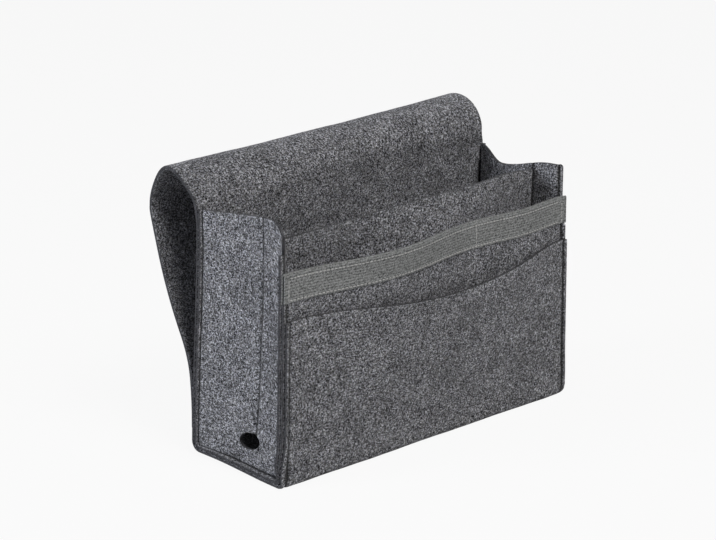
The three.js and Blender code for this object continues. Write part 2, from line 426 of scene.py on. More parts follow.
def feltMaterial(name, fibres, strandShare):
    # matted fibres of three greys, with single strands lying over them
    material = bpy.data.materials.new(name)
    nodes, links, shader = shaderOf(material)
    cloth = nodes.new("ShaderNodeMapping")
    cloth.inputs["Scale"].default_value = (1, feltLook["layStretch"], 1)
    links.new(flatVector(nodes), cloth.inputs["Vector"])
    place = cloth.outputs["Vector"]
    tufts = textureNoise(nodes, links, place, feltLook["grain"], detail=1.5, roughness=0.6, distortion=0.5)
    colour = rampOf(nodes, links, tufts, *zip(feltLook["tuftStops"], fibres))
    relief = tufts
    apartX, apartY = feltLook["strandApart"]
    for number, turn in enumerate(feltLook["strandTurns"]):
        lay = nodes.new("ShaderNodeMapping")
        lay.inputs["Location"].default_value = (apartX * number, apartY * number, 0)
        lay.inputs["Rotation"].default_value = (0, 0, math.radians(turn))
        lay.inputs["Scale"].default_value = (1, feltLook["strandStretch"], 1)
        links.new(place, lay.inputs["Vector"])
        laid = lay.outputs["Vector"]
        strands = textureNoise(
            nodes, links, laid, feltLook["strandScale"], detail=1, roughness=0.5, distortion=1.2)
        pale = rampOf(nodes, links, strands, *feltLook["paleStrand"])
        dark = rampOf(nodes, links, strands, *feltLook["darkStrand"])
        colour = mixColours(nodes, links, "ADD", feltLook["paleShare"] * strandShare, colour, pale)
        colour = mixColours(nodes, links, "MULTIPLY", feltLook["darkShare"] * strandShare, colour, dark)
        relief = mathOf(nodes, links, "ADD", relief, strands)
    clouds = textureNoise(nodes, links, place, feltLook["cloud"], detail=3, roughness=0.6, distortion=0.8)
    shade = rampOf(nodes, links, clouds, *feltLook["cloudShades"])
    colour = mixColours(nodes, links, "MULTIPLY", 1.0, colour, shade)
    # painted shade: the felt is darkened along the sewn rows, in place of the shade in their grooves
    press = nodes.new("ShaderNodeAttribute")
    press.attribute_name = "paintedRowShade"
    sunk = rampOf(nodes, links, press.outputs["Fac"], *feltLook["pressed"])
    colour = mixColours(nodes, links, "MULTIPLY", 1.0, colour, sunk)
    links.new(colour, shader.inputs["Base Color"])
    bumpFrom(nodes, links, shader, relief, feltLook["bump"], feltLook["bumpDepth"])
    shader.inputs["Roughness"].default_value = 0.95
    shader.inputs["Specular IOR Level"].default_value = 0.12
    shader.inputs["Sheen Weight"].default_value = 0.08
    shader.inputs["Sheen Roughness"].default_value = 0.6
    return material


ribbonLook = {
    "dark": (0.031, 0.0335, 0.034),
    "light": (0.41, 0.42, 0.425),
    "toneStops": (0.42, 0.88),
    "twill": 0.60,              # ridges of the weave per millimetre
    "climb": 1.4,               # how steeply they cross the tape
    "rows": 0.45,               # lengthwise rows per millimetre
    "zigzag": 6.5,              # width of one band of the herringbone
    "yarnShare": 0.30,
    "uneven": 800,              # flecks per metre
    "bump": 0.6,
    "bumpDepth": 0.25,
}


def ribbonMaterial(name):
    material = bpy.data.materials.new(name)
    nodes, links, shader = shaderOf(material)
    place = flatVector(nodes)
    split = nodes.new("ShaderNodeSeparateXYZ")
    links.new(place, split.inputs["Vector"])
    along = mathOf(nodes, links, "MULTIPLY", split.outputs["X"], ribbonLook["twill"] / mm)
    across = mathOf(nodes, links, "PINGPONG", split.outputs["Y"], ribbonLook["zigzag"] * mm)
    climb = mathOf(nodes, links, "MULTIPLY", across, ribbonLook["twill"] * ribbonLook["climb"] / mm)
    phase = mathOf(nodes, links, "ADD", along, climb)
    yarn = mathOf(nodes, links, "PINGPONG", phase, 0.5)
    lengthwise = mathOf(nodes, links, "MULTIPLY", split.outputs["Y"], ribbonLook["rows"] / mm)
    rows = mathOf(nodes, links, "PINGPONG", lengthwise, 0.5)
    yarn = mathOf(nodes, links, "ADD", yarn, rows)
    yarn = mathOf(nodes, links, "MULTIPLY", yarn, ribbonLook["yarnShare"])
    uneven = textureNoise(nodes, links, place, ribbonLook["uneven"], detail=2, roughness=0.6)
    woven = mathOf(nodes, links, "ADD", yarn, uneven)
    tones = zip(ribbonLook["toneStops"], (ribbonLook["dark"], ribbonLook["light"]))
    colour = rampOf(nodes, links, woven, *tones)
    links.new(colour, shader.inputs["Base Color"])
    bumpFrom(nodes, links, shader, woven, ribbonLook["bump"], ribbonLook["bumpDepth"])
    shader.inputs["Roughness"].default_value = 0.75
    shader.inputs["Specular IOR Level"].default_value = 0.25
    return material


threadLook = {
    "felt": (0.012, 0.045),     # dark and light of its plies, near black as painted shade of the stitch holes it sinks into
    "ribbon": (0.36, 0.66),
    "plies": 1600,              # per metre
    "stops": (0.35, 0.65),
}


def threadMaterial(name, shades):
    # plies twisted round each other
    material = bpy.data.materials.new(name)
    nodes, links, shader = shaderOf(material)
    place = nodes.new("ShaderNodeTexCoord").outputs["Object"]
    plies = textureNoise(nodes, links, place, threadLook["plies"], detail=2, roughness=0.5)
    colour = rampOf(nodes, links, plies, *zip(threadLook["stops"], shades))
    links.new(colour, shader.inputs["Base Color"])
    shader.inputs["Roughness"].default_value = 0.6
    return material


feltFace = feltMaterial("feltFace", feltLook["faceFibres"], 1.0)
feltEdge = feltMaterial("feltEdge", feltLook["edgeFibres"], 0.12)
ribbonWeave = ribbonMaterial("ribbonWeave")
# the felt's thread is near black, painted shade of the stitch holes and grooves it lies in
feltThread = threadMaterial("feltThread", threadLook["felt"])
ribbonThread = threadMaterial("ribbonThread", threadLook["ribbon"])
print("materials ready")

# Front: swell of the wall and of the pocket over it
front = {
    "wallTop": boxOf("front_wall")[1].z + 1.0,
    "wallTilt": 3.0,            # the tops rise towards the right
    "split": 50,                # seam that parts the wide and the narrow pocket
    "wideSwell": 15,
    "narrowSwell": 4.5,
    "swellEnd": 154,
    "swellFrom": 6.9,
    "swellCurve": 1.5,          # the swell grows faster towards the top
    "pocketEndTop": 133,
    "pocketScoop": 12,
    "pocketTilt": 3,
    "scoopFrom": -140,
    "scoopAt": 30,
    "mouthGap": 11,
    "mouthAt": 45,
    "mouthTop": 120,
}


def wallTop(x):
    return front["wallTop"] + front["wallTilt"] * x / halfWidth


def riseShare(z, full):
    return clamp((z - front["swellFrom"]) / (full - front["swellFrom"])) ** front["swellCurve"]


def wallSwell(x, z):
    end, split = front["swellEnd"], front["split"]
    wide = front["wideSwell"] * hump(x, -end, (split - end) / 2, split)
    narrow = front["narrowSwell"] * hump(x, split, (split + end) / 2, end)
    return (wide + narrow) * riseShare(z, front["wallTop"])


def pocketTop(x):
    scoop = front["pocketScoop"] * hump(x, front["scoopFrom"], front["scoopAt"], halfWidth)
    return front["pocketEndTop"] - scoop + front["pocketTilt"] * x / halfWidth


def pocketSwell(x, z):
    end = front["swellEnd"]
    mouth = front["mouthGap"] * hump(x, -end, front["mouthAt"], end)
    return wallSwell(x, z) + mouth * riseShare(z, front["mouthTop"])


def frontPoint(s, z, swell, mid, layer):
    across, forward = frontMargin(s, seamCurl(z), layer)
    return settle(Vector((across, mid - forward - swell(s, z), z)))


# One cut of felt: front pocket, base, back and flap
wrap = {
    "foldRadius": 3.6,
    "rearFold": 7.6,
    "foldTop": 203.0,           # the back ends here and the flap begins
    "crownRadius": 25.5,
    "crownSweep": 200,
    "tailLean": 20,
    "tailBend": 100,
    "skewLeft": 11.0,           # degrees that the left edge of the flap leans back
    "skewRight": -4.0,
    "skewBelow": 25,            # the lean begins this far below the end of the back
    "tailPush": 8.0,            # the left edge of the tail stands off the bag by this much more
    "pushHeights": (30, 130, 240),
    "pushAngle": 60,            # angles on the crown are 180 in front and 0 behind
    "tailShift": 1.8,           # the tail's end hangs a little to the right
    "frontDraw": 5.8,           # the crown's left edge is drawn in to a pointed roll by these
    "frontDrawAngles": (80, 150, 225),
    "rearDraw": 3.4,
    "rearDrawAngles": (-30, 40, 95),
    "rightSwell": 3.5,          # and its right edge is a wider roll that stands higher
    "swellStart": (-40, 20),
    "swellStop": (155, 190),
    "rightLift": 3.0,
    "liftAngle": 130,
    "looseAngle": 100,          # from here on the flap no longer follows the bag
    "seamFade": 40,             # the proud seam edges end over this length below the flap
    "rowFade": (20, 14),        # and the sewn rows end between these
    "pieceCuts": (188.0, 175.0, 113.33, 46.67),     # back height, then angles on the crown
    "bendInset": 2.0,           # the bends stop this far from the ends of each stretch
    "bendPast": 6,              # but the last one runs this far past the crown
    "crownCell": 2.0,
    "cutCell": 0.35,            # three narrow rows lie on either side of each cut
    "topRun": 12,               # length of the fine rows at the pocket's top edge
    "endRun": 6,                # and at the end of the tail
}


def wrapRuns():
    # (length, turn) of each stretch from the pocket's top edge to the end of the flap
    quarter = math.pi / 2
    radius, rear = wrap["foldRadius"], wrap["rearFold"]
    lean = math.radians(wrap["tailLean"])
    tailLow = boxOf("flap_tail")[0]
    crownTop = boxOf("flap_crown_front")[1].z
    crownZ = crownTop - wrap["crownRadius"] - solidFelt / 2
    crownEndY = backMid + wrap["crownRadius"] * (1 + math.cos(lean))
    crownEndZ = crownZ - wrap["crownRadius"] * math.sin(lean)
    tailY = tailLow.y + solidFelt / 2
    slope = (crownEndY - tailY - wrap["tailBend"] * (1 - math.cos(lean))) / math.sin(lean)
    bendEndZ = crownEndZ - slope * math.cos(lean) - wrap["tailBend"] * math.sin(lean)
    return [
        (front["pocketEndTop"] - baseMid - radius, 0),
        (radius * quarter, quarter),
        (backMid - pocketMid - radius - rear, 0),
        (rear * quarter, quarter),
        (wrap["foldTop"] - baseMid - rear, 0),
        (crownZ - wrap["foldTop"], 0),
        (wrap["crownRadius"] * math.radians(wrap["crownSweep"]), -math.radians(wrap["crownSweep"])),
        (slope, 0),
        (wrap["tailBend"] * lean, lean),
        (bendEndZ - tailLow.z, 0),
    ]


sectionRuns = wrapRuns()
runEnds = [sum(length for length, turn in sectionRuns[:count + 1]) for count in range(len(sectionRuns))]
pocketEnd, foldEnd, baseEnd, backStart, backEnd, riseEnd, crownEnd, slopeEnd, bendEnd, flapEnd = runEnds


def walkSection(travel):
    y, z, heading = pocketMid, front["pocketEndTop"], -math.pi / 2
    for length, turn in sectionRuns:
        step = min(travel, length)
        bend = turn * step / length
        if bend == 0:
            y += step * math.cos(heading)
            z += step * math.sin(heading)
        else:
            radius = length / turn
            y += radius * (math.sin(heading + bend) - math.sin(heading))
            z += radius * (math.cos(heading) - math.cos(heading + bend))
        heading += bend
        travel -= step
        if travel <= 0:
            break
    return y, z


def crownTravel(angle):
    return riseEnd + wrap["crownRadius"] * math.radians(180 - angle)


def flapSkew(x, y, z, t):
    # the flap lies a little askew: its left edge leans back and its right edge forward
    share = (x + halfWidth) / (2 * halfWidth)
    lean = math.radians(mix(wrap["skewLeft"], wrap["skewRight"], share))
    rise, back = max(z - wrap["foldTop"], 0), y - backMid
    push = wrap["tailPush"] * (1 - share) * hump(z, *wrap["pushHeights"])
    push *= smooth(t, crownTravel(wrap["pushAngle"]), crownEnd)
    angle = 180 - math.degrees((t - riseEnd) / wrap["crownRadius"])
    draw = wrap["frontDraw"] * hump(angle, *wrap["frontDrawAngles"])
    draw += wrap["rearDraw"] * hump(angle, *wrap["rearDrawAngles"])
    swell = wrap["rightSwell"] * smooth(angle, *wrap["swellStart"]) * (1 - smooth(angle, *wrap["swellStop"]))
    draw = draw * (1 - share) ** 2 - swell * share ** 2
    y -= draw * math.cos(math.radians(angle))
    z -= draw * math.sin(math.radians(angle))
    lift = wrap["rightLift"] * share * smooth(t, backEnd, crownTravel(wrap["liftAngle"]))
    lift *= 1 - smooth(t, crownEnd, flapEnd)
    return y + lean * rise + push, z - lean * back + lift


def wrapPoint(s, t):
    if t < pocketEnd:
        bottom = baseMid + wrap["foldRadius"]
        z = mix(pocketTop(s), bottom, t / pocketEnd)
        return frontPoint(s, z, pocketSwell, pocketMid, 0)
    y, z = walkSection(t)
    sewn = 1 - smooth(t, backEnd - wrap["seamFade"], backEnd)
    x = s * (1 + sewn * seam["proud"] / halfWidth)
    if t > backEnd - wrap["skewBelow"]:
        y, z = flapSkew(x, y, z, t)
        x += wrap["tailShift"] * smooth(t, crownEnd, bendEnd)
    return settle(Vector((x, y, z)), 1 - smooth(t, backEnd, crownTravel(wrap["looseAngle"])))


def wrapMarks():
    cell, fine, coarse = felt["cell"], felt["fineCell"], felt["coarseCell"]
    narrow, crownCell = wrap["cutCell"], wrap["crownCell"]
    beside = 3 * narrow
    topRun, endRun = wrap["topRun"], flapEnd - wrap["endRun"]
    backCut = backEnd - (wrap["foldTop"] - wrap["pieceCuts"][0])
    cuts = [backCut] + [crownTravel(angle) for angle in wrap["pieceCuts"][1:]]
    runs = [(0, topRun, fine), (topRun, pocketEnd, cell), (pocketEnd, foldEnd, fine)]
    runs += [(foldEnd, baseEnd, coarse), (baseEnd, backStart, fine), (backStart, backCut, coarse)]
    for low, high in zip(cuts, cuts[1:]):
        runs += [(low, low + beside, narrow), (low + beside, high - beside, crownCell)]
        runs += [(high - beside, high, narrow)]
    runs += [(cuts[-1], cuts[-1] + beside, narrow), (cuts[-1] + beside, crownEnd, crownCell)]
    runs += [(crownEnd, endRun, cell), (endRun, flapEnd, fine)]
    return ladder(*runs), cuts


def cutLength(master, name, low, high):
    # keeps the stretch of the cut between two rows, and closes its ends
    bm = bmesh.new()
    bm.from_mesh(master.data)
    flatPlace = bm.verts.layers.float_vector["flatPlace"]
    outside = []
    for face in bm.faces:
        middle = sum(vert[flatPlace].y for vert in face.verts) / len(face.verts) / mm
        if middle < low or middle > high:
            outside.append(face)
    bmesh.ops.delete(bm, geom=outside, context="FACES")
    opened = [edge for edge in bm.edges if edge.is_boundary]
    bmesh.ops.holes_fill(bm, edges=opened, sides=0)
    piece = newObject(name, bm, feltFace, feltEdge)
    softenShading(piece)
    return piece


def wrapRow(s, t):
    fadeStart, fadeStop = wrap["rowFade"]
    sewn = 1 - smooth(t, backEnd - fadeStart, backEnd - fadeStop)
    return [sewn * share for share in edgeRow(s, t)]


def makeWrap():
    tMarks, cuts = wrapMarks()
    bm = sheetGrid(widthMarks(), tMarks, wrapPoint, 1, wrapRow)
    wavePoints(bm, 1, insideMargins)
    master = feltPiece("feltCut", bm)
    ends = [-1] + cuts + [flapEnd + 1]
    names = ("bodyWrap", "flapFold", "flapCrownFront", "flapCrownTop", "flapTail")
    pieces = [cutLength(master, name, low, high) for name, low, high in zip(names, ends, ends[1:])]
    old = master.data
    bpy.data.objects.remove(master)
    bpy.data.meshes.remove(old)
    return pieces, cuts


def bendAxis(low, high):
    # a bend runs square to the rows of the flap, which lie askew
    start = wrapPoint(0, low + wrap["bendInset"])
    along = wrapPoint(0, high - wrap["bendInset"]) - start
    middle = (low + high) / 2
    row = (wrapPoint(halfWidth, middle) - wrapPoint(-halfWidth, middle)).normalized()
    return start * mm, (start + along - row * along.dot(row)) * mm


wrapPieces, wrapCuts = makeWrap()
bodyWrap, flapFold, flapCrownFront, flapCrownTop, flapTail = wrapPieces
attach(bodyWrap, "bag")
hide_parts("front_pocket", "base_panel", "back_panel")
flapBends = [
    (flapFold, "bag", "flap_rise", wrapCuts[0], wrapCuts[1]),
    (flapCrownFront, "flap_rise", "flap_crown_front", wrapCuts[1], wrapCuts[2]),
    (flapCrownTop, "flap_crown_front", "flap_crown_rear", wrapCuts[2], wrapCuts[3]),
    (flapTail, "flap_crown_rear", "flap_tail", wrapCuts[3], crownEnd + wrap["bendPast"]),
]
for piece, near, far, low, high in flapBends:
    bendStart, bendStop = bendAxis(low, high)
    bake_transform(piece)
    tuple(bendStart)
    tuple(bendStop)
    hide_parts(far)
wrapEnds = [0, *wrapCuts, flapEnd]
for piece, low, high in zip(wrapPieces, wrapEnds, wrapEnds[1:]):
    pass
print("front pocket, base, back and flap made")

# Front wall with its ribbon
wall = {
    "bottom": 13.0,
    "ribbonInset": 3.0,         # the wall stops short inside the ends of the ribbon
    "insetFade": (-1, 2),       # from below the ribbon's lower edge to above it
    "topRun": 8,                # length of the fine rows at its top
}
ribbon = {
    "height": 21.3,
    "thickness": 0.7,
    "clear": 0.1,
    "crown": 0.6,               # share of its height that the turn over the edge keeps
    "pinch": 0.5,               # its ends are pressed together
    "pinchRun": (4, 1),
    "edgeRound": 0.15,
    "cell": 2.0,
    "turnCell": 0.7,
    "probe": 0.5,
}
ribbonLift = halfFelt + ribbon["clear"] + ribbon["thickness"] / 2
ribbonTotal = 2 * ribbon["height"] + math.pi * ribbonLift


def wallMiddle(s, z):
    return frontPoint(s, z, wallSwell, wallMid, 1)


def wallPoint(s, z):
    ribbonLow = wallTop(s) - ribbon["height"]
    fadeLow, fadeHigh = wall["insetFade"]
    bound = smooth(z, ribbonLow + fadeLow, ribbonLow + fadeHigh)
    return wallMiddle(s * (1 - bound * wall["ribbonInset"] / halfWidth), z)


def makeFrontWall():
    top = front["wallTop"]
    fineFrom = top - wall["topRun"]
    zMarks = ladder((wall["bottom"], fineFrom, felt["cell"]), (fineFrom, top, felt["fineCell"]))

    def tilted(s, z):
        return wallPoint(s, z + (wallTop(s) - top) * smooth(z, top / 2, top))

    bm = sheetGrid(widthMarks(), zMarks, tilted, 2, edgeRow)
    wavePoints(bm, 2, insideMargins)
    piece = feltPiece("frontWall", bm)
    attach(piece, "bag")
    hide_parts("front_wall")


makeFrontWall()


def ribbonPoint(s, travel):
    # travel 0 is the lower edge of the front leg; the tape runs over the top and down behind
    leg, top = ribbon["height"], wallTop(s)
    over = math.pi * ribbonLift
    if travel < leg:
        face, z = 1.0, top - leg + travel
    elif travel < leg + over:
        angle = (travel - leg) / ribbonLift
        face, z = math.cos(angle), top + ribbonLift * math.sin(angle) * ribbon["crown"]
    else:
        face, z = -1.0, top - (travel - leg - over)
    level = min(z, top)
    here = wallMiddle(s, level)
    beside = wallMiddle(s + ribbon["probe"], level) - wallMiddle(s - ribbon["probe"], level)
    outward = Vector((beside.y, -beside.x, 0)).normalized()
    pinchStart, pinchStop = ribbon["pinchRun"]
    pinch = ribbon["pinch"] * smooth(abs(s), halfWidth - pinchStart, halfWidth - pinchStop)
    return Vector((here.x, here.y, z)) + outward * (ribbonLift * face * (1 - pinch))


def makeRibbon():
    leg, cell = ribbon["height"], ribbon["cell"]
    rearLeg = ribbonTotal - leg
    tMarks = ladder((0, leg, cell), (leg, rearLeg, ribbon["turnCell"]), (rearLeg, ribbonTotal, cell))
    bm = sheetGrid(widthMarks(), tMarks, ribbonPoint, 3)
    bmesh.ops.recalc_face_normals(bm, faces=bm.faces)
    piece = newObject("topRibbon", bm, ribbonWeave, ribbonWeave)
    thicken(piece, ribbon["thickness"], ribbon["edgeRound"])
    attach(piece, "bag")
    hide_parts("top_ribbon")


makeRibbon()
print("front wall and ribbon made")

# Sides: a plate with its margin turned outwards on three edges, and a cable hole
side = {
    "plateX": 153.7,
    "bend": 2.2,
    "cornerRadius": 2.0,
    "rearRadius": 4.4,
    "settle": 32,               # length over which the margin takes up the corner
    "bowIn": 2.2,
    "bowHeights": (6, 90),
    "creaseAt": -16.5,
    "crease": 0.9,
    "creaseWidth": 2.2,
    "creaseLean": 5.0,
    "creaseSpan": 195.5,
    "creaseHeights": (20, 34),
    "creasePress": 0.65,        # how hard the row in the crease presses the felt, and how dark a shade is painted along it
    "pressHeights": (26, 34),
    "rearShare": 0.45,          # share of the margin that the plate stands out at its rear seam
    "closeHeights": (-7, 3),    # below the foot of the front wall the layers close up
    "closeDepth": 20,
    "tuckHeight": 12,           # the front margin turns in from this far below the wall's top
    "tuckDepths": (4, 16),
    "dipFrom": 8,
    "flatTop": 200,
    "waveRun": (6, 24),
    "holeWidth": 23,
    "holeHeight": 13.4,
    "holeY": -9.0,
    "holeZ": 25.2,
    "holeTilt": -15,
    "holeMargin": 2,            # fine cells reach this far past the hole
    "rimReach": 1.5,
    "holdHeight": 60,           # the shaped top edge stretches the cut only above this
    "fineCell": 0.8,
    "midCell": 2.2,
    "fineMargin": 6,            # fine cells reach this far past the turned margin
    "creaseRun": 7,             # and this far in front of the crease
}
sideTops = {
    "left": {
        "front": 204.6,
        "dip": 199.8,
        "dipAt": 46,
        "back": 200.2,
        "corner": (6, 22),      # the front corner is rounded between these, from the cut edge
        "drop": 24,
        "tuck": 0,
    },
    "right": {
        "front": 198.9,
        "dip": 190,
        "dipAt": 20,
        "back": 201,
        "corner": (0, 3),
        "drop": 2,
        "tuck": 2.6,
    },
}
sideFrontY, sideBackY = flangeMid, backMid - felt["layerPitch"]
sideBottomZ = baseMid + felt["layerPitch"]
marginFlat = seamEdge - side["plateX"] - 2 * side["bend"] + side["bend"] * math.pi / 2
sideDepth = sideBackY - sideFrontY
sideFlatDepth = sideDepth + 2 * marginFlat
sideFlatHeight = side["flatTop"] - sideBottomZ + marginFlat


def rimProfile(inset, turn):
    # how far felt at inset from its cut edge lies out of the plate and in from the seam line
    bend = side["bend"]
    tangent = bend * math.tan(turn / 2)
    lip = (seamEdge - side["plateX"]) / math.sin(turn) - tangent
    arc = bend * turn
    if inset < lip:
        run = lip - inset
        out = bend * (1 - math.cos(turn)) + run * math.sin(turn)
        return out, tangent - bend * math.sin(turn) - run * math.cos(turn)
    if inset < lip + arc:
        angle = (lip + arc - inset) / bend
        return bend * (1 - math.cos(angle)), tangent - bend * math.sin(angle)
    return 0.0, tangent + inset - lip - arc


def cornerPlace(along, inward, radius):
    # (along, inward) beside a corner of the rounded outline
    if along >= radius:
        return inward + along, inward
    angle = math.pi / 4 * (1 - along / radius)
    centre = inward + radius
    return centre - radius * math.sin(angle), centre - radius * math.cos(angle)


def sidePlace(s, t):
    # out of the plate, depth and height of a point of the flat cut
    fromFront, fromBack, fromBottom = s, sideFlatDepth - s, t
    nearest = min(fromFront, fromBack)
    rough = sideBottomZ + t - marginFlat
    inset = min(nearest, fromBottom)
    turn = math.pi / 2
    if fromFront <= fromBottom and fromFront <= fromBack:
        turn -= seamCurl(rough)
    out, inward = rimProfile(inset, turn)
    past = abs(nearest - fromBottom)
    slack = inset - marginFlat - max(inward, 0.0)
    along = past + min(slack, 0.0) * smooth(past, 0, side["settle"])
    rounding = side["cornerRadius"] if fromFront <= fromBack else side["rearRadius"]
    radius = max(0.0, rounding - max(inward, 0.0))
    run, deep = cornerPlace(along, inward, radius)
    across, up = (run, deep) if fromBottom <= nearest else (deep, run)
    if fromBottom > nearest and past > side["settle"]:
        up = rough - sideBottomZ
    y = sideFrontY + across if fromFront <= fromBack else sideBackY - across
    z = sideBottomZ + up
    closeLow, closeHigh = side["closeHeights"]
    close = 1 - smooth(z, wall["bottom"] + closeLow, wall["bottom"] + closeHigh)
    y -= felt["layerPitch"] * close * (1 - smooth(y - sideFrontY, 0, side["closeDepth"]))
    return out, y, z


def creaseLine(z):
    return side["creaseAt"] + side["creaseLean"] * (0.5 - z / side["creaseSpan"])


def plateSink(y, z):
    # the plate bows in between its seams, and the row that holds the divider draws it in
    share = clamp((y - sideFrontY) / sideDepth)
    bow = side["bowIn"] * math.sin(math.pi * share) * smooth(z, *side["bowHeights"])
    fold = (y - creaseLine(z)) / side["creaseWidth"]
    return bow + side["crease"] * math.exp(-fold * fold) * smooth(z, *side["creaseHeights"])


def sidePoint(hand):
    sign = -1 if hand == "left" else 1
    lip = seamEdge - side["plateX"]

    def point(s, t):
        out, y, z = sidePlace(s, t)
        out = mix(out, lip, side["rearShare"] * smooth(y, 0, sideBackY))
        freeTop = smooth(z, front["wallTop"] - side["tuckHeight"], front["wallTop"])
        freeTop *= 1 - smooth(y - sideFrontY, *side["tuckDepths"])
        out -= sideTops[hand]["tuck"] * freeTop * clamp(out / lip)
        return settle(Vector((sign * (side["plateX"] + out - plateSink(y, z)), y, z)))
    return point


def sideTop(hand, s):
    # height of the top edge, measured in the flat cut from its bottom edge
    top = sideTops[hand]
    y = sideFrontY + s - marginFlat
    level = mix(top["front"], top["dip"], smooth(y, sideFrontY + side["dipFrom"], top["dipAt"]))
    if y > top["dipAt"]:
        level = mix(level, top["back"], smooth(y, top["dipAt"], sideBackY))
    cornerStart, cornerEnd = top["corner"]
    past = clamp((cornerEnd - s) / (cornerEnd - cornerStart))
    level -= top["drop"] * (1 - math.sqrt(1 - past * past))
    return level - sideBottomZ + marginFlat


def flatOfSide(y, z):
    return y - sideFrontY + marginFlat, z - sideBottomZ + marginFlat


def punchHole(bm, point):
    # takes out a patch of the plate and draws its rim in to the oval
    flatPlace = bm.verts.layers.float_vector["flatPlace"]
    centreS, centreT = flatOfSide(side["holeY"], side["holeZ"])
    halfAcross, halfUp = side["holeWidth"] / 2, side["holeHeight"] / 2
    tilt = math.radians(side["holeTilt"])

    def reach(place):
        across, up = place.x / mm - centreS, place.y / mm - centreT
        long = (across * math.cos(tilt) + up * math.sin(tilt)) / halfAcross
        short = (up * math.cos(tilt) - across * math.sin(tilt)) / halfUp
        return math.hypot(long, short)

    patch = []
    for face in bm.faces:
        middle = sum((vert[flatPlace] for vert in face.verts), Vector()) / len(face.verts)
        if reach(middle) < 1:
            patch.append(face)
    bmesh.ops.delete(bm, geom=patch, context="FACES")
    for vert in bm.verts:
        share = reach(vert[flatPlace])
        if vert.is_boundary and share < side["rimReach"]:
            s = centreS + (vert[flatPlace].x / mm - centreS) / share
            t = centreT + (vert[flatPlace].y / mm - centreT) / share
            vert.co = point(s, t) * mm
            vert[flatPlace] = Vector((s * mm, t * mm, vert[flatPlace].z))


def sideRow(s, t):
    # the row that holds the divider, and the one round the seam edge, with the shade painted along them
    y, z = sideFrontY + s - marginFlat, sideBottomZ + t - marginFlat
    crease = side["creasePress"] * rowShare(y - creaseLine(z)) * smooth(z, *side["pressHeights"])
    return [max(crease, share) for share in sewnFelt(min(s, sideFlatDepth - s, t))]


def sideWave(s, t):
    return smooth(min(s, sideFlatDepth - s, t), *side["waveRun"])


def makeSide(hand, number):
    fine, middle, cell = side["fineCell"], side["midCell"], felt["cell"]
    hold = side["holdHeight"]
    low, high = marginFlat + side["fineMargin"], sideFlatDepth - marginFlat - side["fineMargin"]
    creaseS = flatOfSide(side["creaseAt"], 0)[0] - side["creaseRun"]
    holeBack = side["holeY"] + side["holeWidth"] / 2 + side["holeMargin"]
    holeTop = side["holeZ"] + side["holeHeight"] / 2 + side["holeMargin"]
    holeS, holeT = flatOfSide(holeBack, holeTop)
    sMarks = ladder(
        (0, low, fine), (low, creaseS, cell), (creaseS, holeS, fine),
        (holeS, high, cell), (high, sideFlatDepth, fine),
    )
    tMarks = ladder((0, low, fine), (low, holeT, fine), (holeT, hold, middle), (hold, sideFlatHeight, cell))
    point = sidePoint(hand)

    def topped(s, t):
        if t > hold:
            t = mix(hold, sideTop(hand, s), (t - hold) / (sideFlatHeight - hold))
        return point(s, t)

    bm = sheetGrid(sMarks, tMarks, topped, number, sideRow)
    punchHole(bm, point)
    bmesh.ops.recalc_face_normals(bm, faces=bm.faces)
    wavePoints(bm, number, sideWave)
    piece = feltPiece(hand + "Side", bm)
    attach(piece, "bag")
    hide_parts(hand + "_side")


makeSide("left", 5)
makeSide("right", 6)
print("sides made")

# Divider, bowed forward to the front wall, with its ends turned back along the sides
divider = {
    "endFront": -22.3,          # where its ends begin, middle of the felt
    "bow": 20.1,
    "bowAt": 50,
    "turnRadius": 4.0,
    "clear": 0.15,
    "tail": 9.0,
    "tailFrom": 36,             # the turned ends stop above the cable holes
    "tailFade": 8,
    "tailLeast": 0.02,          # below that a sliver of their length keeps the rows apart
    "holeClear": 3.5,           # and there the ends keep in front of the holes
    "clearFade": 25,
    "leanFrom": 60,             # the ends follow the lean of the crease from here outwards
    "bottom": 4.2,
    "topLeft": 184.5,
    "topRight": 195.5,
    "topRiseEnd": 60,
    "endDrop": 3.2,             # its right end stays under the top edge of the side
    "dropRun": (105, 155),
    "freeAbove": 155,           # above the seam to the front wall the bow goes back a little
    "freeShare": 0.4,
    "fineMargin": 6,            # fine cells begin this far before the turned ends
    "fineTop": 0.95,            # the rows are finer above this share of the height
    "rowStep": 0.02,
    "topRowStep": 0.0125,
}
dividerEnd = side["plateX"] - felt["thickness"] - divider["clear"] - divider["turnRadius"]


def dividerPoint(s, z):
    radius = divider["turnRadius"]
    turn = dividerEnd - plateSink(creaseLine(z), z)
    past = abs(s) - turn
    x = math.copysign(min(abs(s), turn), s)
    free = divider["freeShare"] * smooth(z, divider["freeAbove"], divider["topRight"])
    y = divider["endFront"] - divider["bow"] * (1 - free) * hump(x, -turn, divider["bowAt"], turn)
    if past > 0:
        angle = min(past / radius, math.pi / 2)
        tail = max(0.0, past - radius * math.pi / 2)
        tail *= smooth(z, divider["tailFrom"], divider["tailFrom"] + divider["tailFade"])
        x += math.copysign(radius * math.sin(angle), s)
        y += radius * (1 - math.cos(angle)) + max(tail, divider["tailLeast"] * past)
    shift = side["creaseLean"] * (1 - z / side["creaseSpan"])
    aboveHole = smooth(z, divider["tailFrom"], divider["tailFrom"] + divider["clearFade"])
    shift = mix(-divider["holeClear"], shift, aboveHole)
    return settle(Vector((x, y + smooth(abs(s), divider["leanFrom"], turn) * shift, z)))


def dividerTop(s):
    drop = divider["endDrop"] * smooth(s, *divider["dropRun"])
    rise = smooth(s, -halfWidth, divider["topRiseEnd"])
    return mix(divider["topLeft"], divider["topRight"], rise) - drop


